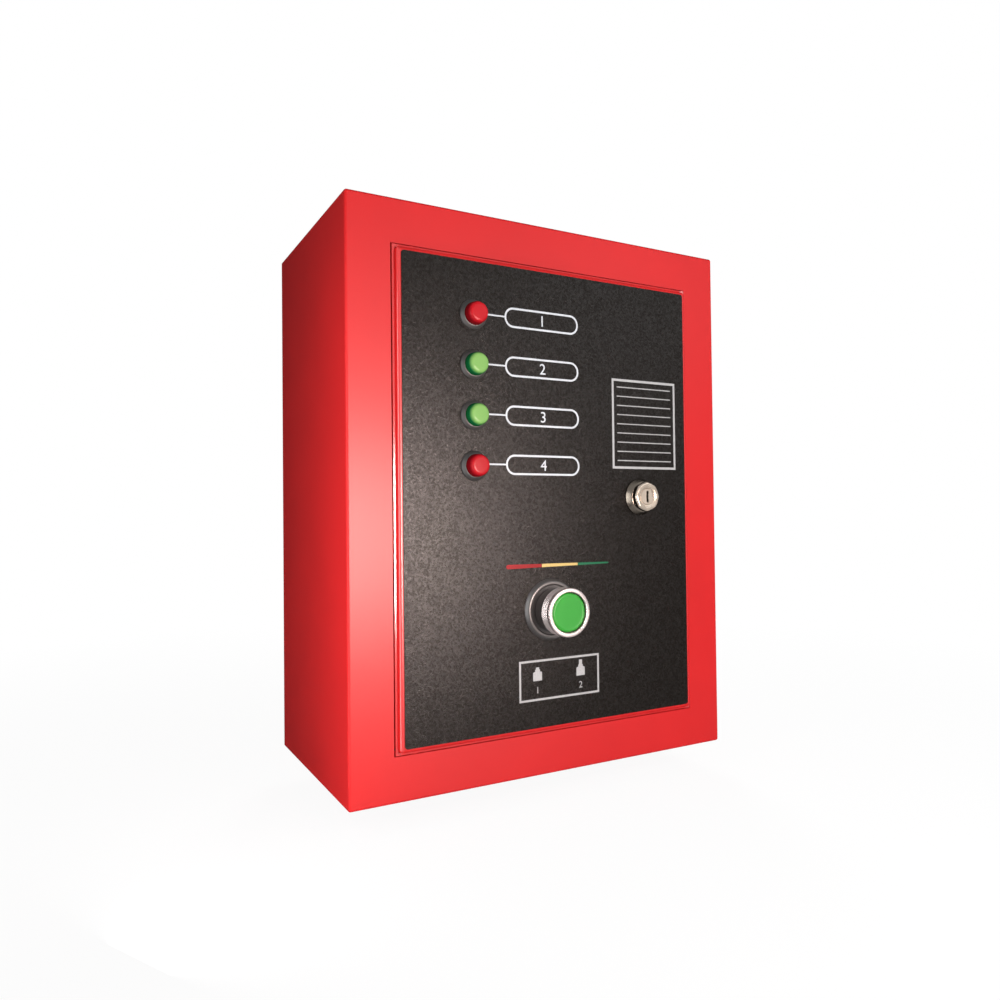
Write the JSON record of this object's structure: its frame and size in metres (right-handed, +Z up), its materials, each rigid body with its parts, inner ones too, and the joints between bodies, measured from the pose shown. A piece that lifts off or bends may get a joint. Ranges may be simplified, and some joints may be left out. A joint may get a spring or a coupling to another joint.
{
  "type": "transfer switch control box",
  "caption": "Wall-mounted red steel transfer switch box with hinged door, indicator lamps, push button, cam lock, contactors and cable glands.",
  "frame": {"origin": "centre of the four wall-bolt holes, on the back face", "axes": "+Z up, +Y into the wall, the door faces -Y, +X to the lock side"},
  "size_m": [0.3, 0.1879, 0.4001],
  "materials": {
    "case_red": "glossy powder coat",
    "front_sheet_black": "fine-grained printed sheet",
    "lens_red": "translucent, moulded",
    "lens_green": "translucent, moulded",
    "lamp_black": "glossy moulding",
    "button_black": "satin moulding",
    "button_green": "satin moulding",
    "chrome_trim": "bright plating",
    "zinc_steel": "bright zinc",
    "galvanised_plate": "galvanised",
    "contactor_grey": "light grey moulding",
    "contactor_black": "black moulding",
    "armature_blue": "moulding",
    "rocker_orange": "moulding",
    "board_green": "solder mask",
    "support_white": "nylon",
    "relay_blue": "moulding",
    "transformer_core": "varnished laminations and tape",
    "chip_black": "moulding",
    "header_green": "moulding",
    "terminal_grey": "moulding",
    "terminal_earth": "green and yellow moulding",
    "gland_nylon": "black nylon",
    "seal_rubber": "soft",
    "earth_brass": "plain"
  },
  "bodies": {
    "enclosure": {"enclosure_shell": "case_red", "door_frame": "case_red", "case_floor": "case_red", "back_panel": "case_red", "mounting_plate": "galvanised_plate", "plate_standoffs": "zinc_steel", "stud_nuts": "zinc_steel", "contactor_rail": "galvanised_plate", "terminal_rail": "galvanised_plate", "rail_screws": "zinc_steel", "mains_contactor_base": "contactor_black", "mains_contactor_housing": "contactor_grey", "generator_contactor_base": "contactor_black", "generator_contactor_housing": "contactor_grey", "contactor_screws": "zinc_steel", "interlock_housing": "contactor_black", "control_board": "board_green", "board_supports": "support_white", "control_relays": "relay_blue", "control_transformer": "transformer_core", "board_components": "chip_black", "board_fuse_holder": "chip_black", "board_screw_header": "header_green", "mains_terminals": "terminal_grey", "generator_terminals": "terminal_grey", "load_terminals": "terminal_grey", "earth_terminal": "terminal_earth", "terminal_end_stops": "terminal_grey", "gland_bodies": "gland_nylon", "gland_locknuts": "gland_nylon", "gland_caps": "gland_nylon", "gland_seals": "seal_rubber", "earth_stud": "earth_brass", "door_seal": "seal_rubber", "hinge_pins": "zinc_steel"},
    "door": {"door_pan": "case_red", "front_overlay": "front_sheet_black", "lamp_lens_1": "lens_red", "lamp_lens_2": "lens_green", "lamp_lens_3": "lens_green", "lamp_lens_4": "lens_red", "lamp_bodies": "lamp_black", "lamp_nuts": "zinc_steel", "button_collar": "button_black", "button_barrel": "button_black", "button_bezel": "chrome_trim", "button_locknut": "zinc_steel", "button_spring": "zinc_steel", "contact_carrier": "button_black", "contact_blocks": "button_black", "lock_housing": "chrome_trim", "lock_nut": "zinc_steel"},
    "button": {"button_cap": "button_green", "button_stem": "button_black"},
    "lock_plug": {"lock_plug": "chrome_trim", "lock_cam": "zinc_steel", "lock_cam_nut": "zinc_steel"},
    "mains_armature": {"mains_armature": "armature_blue"},
    "generator_armature": {"generator_armature": "armature_blue"},
    "interlock_rocker": {"interlock_rocker": "rocker_orange"}
  },
  "joints": [
    {"name": "door_hinge", "type": "hinge", "parent": "enclosure", "child": "door", "pos_m": [-0.106, -0.157, 0], "axis": [0, 0, -1], "range_deg": [0, 115]},
    {"name": "lock_turn", "type": "hinge", "parent": "door", "child": "lock_plug", "pos_m": [0.071, -0.16, 0.001], "axis": [0, -1, 0], "range_deg": [0, 90]},
    {"name": "button_press", "type": "slide", "parent": "door", "child": "button", "axis": [0, 1, 0], "range_m": [0, 0.004], "stiffness_N_per_m": 900, "deforming": ["button_spring"]},
    {"name": "mains_armature_slide", "type": "slide", "parent": "enclosure", "child": "mains_armature", "axis": [0, 1, 0], "range_m": [-0.004, 0]},
    {"name": "generator_armature_slide", "type": "slide", "parent": "enclosure", "child": "generator_armature", "axis": [0, 1, 0], "range_m": [0, 0.004]},
    {"name": "rocker_turn", "type": "hinge", "parent": "enclosure", "child": "interlock_rocker", "pos_m": [0.06, -0.093, 0.084], "axis": [1, 0, 0], "range_deg": [0, 28.08]}
  ],
  "couplings": [
    {"joint": "generator_armature_slide", "follows": "mains_armature_slide", "ratio": -1},
    {"joint": "rocker_turn", "follows": "mains_armature_slide", "rad_per_m": -122.49}
  ]
}
